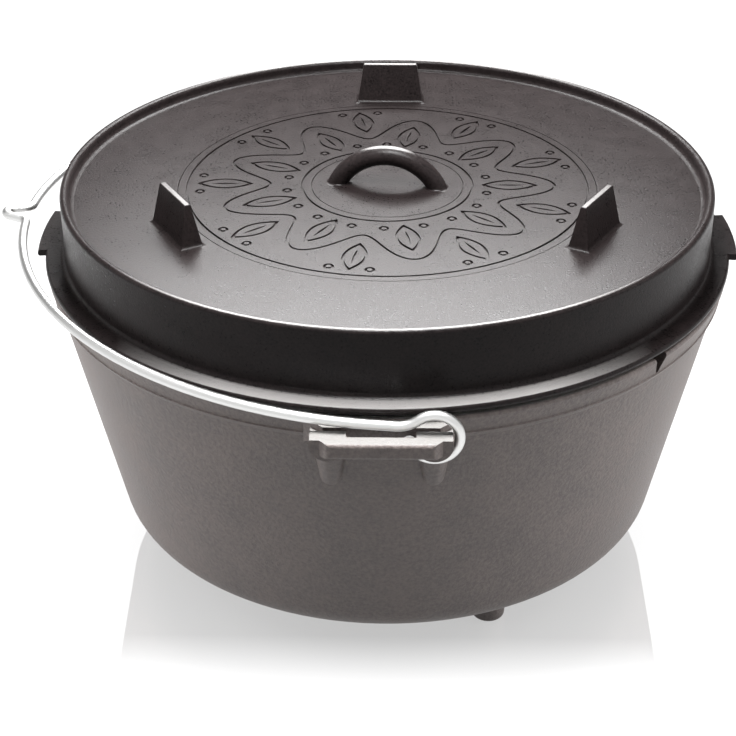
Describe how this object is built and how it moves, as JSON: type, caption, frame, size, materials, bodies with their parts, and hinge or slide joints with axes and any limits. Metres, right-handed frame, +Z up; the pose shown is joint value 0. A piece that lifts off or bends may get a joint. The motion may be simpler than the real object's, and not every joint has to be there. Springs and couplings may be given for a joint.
{
  "type": "camp dutch oven",
  "caption": "Footed cast-iron camp oven with a flanged lid that holds coals and turns over to stand on its own feet, and a wire bail that swings on cast ears.",
  "frame": {"origin": "on the pot's axis, on the surface that the legs stand on", "axes": "+Z up along the pot's axis; the ears face -Y and +Y; the bail lies folded towards -X"},
  "size_m": [0.443, 0.452, 0.2598],
  "materials": {
    "pot_iron": "grainy sand-cast, seasoned, satin",
    "lid_iron": "fine-grained cast, seasoned, satin",
    "bail_wire": "bright zinc-plated wire"
  },
  "bodies": {
    "pot": {"pot": "pot_iron"},
    "lid": {"lid": "lid_iron"},
    "bail": {"bail": "bail_wire"}
  },
  "joints": [
    {"name": "bail_swing", "type": "hinge", "parent": "pot", "child": "bail", "pos_m": [0.027, 0, 0.1925], "axis": [0, 1, 0], "range_deg": [0, 172]},
    {"name": "lid_lift", "type": "slide", "parent": "pot", "child": "lid", "axis": [0, 0, 1], "range_m": [0, 0.15]}
  ]
}
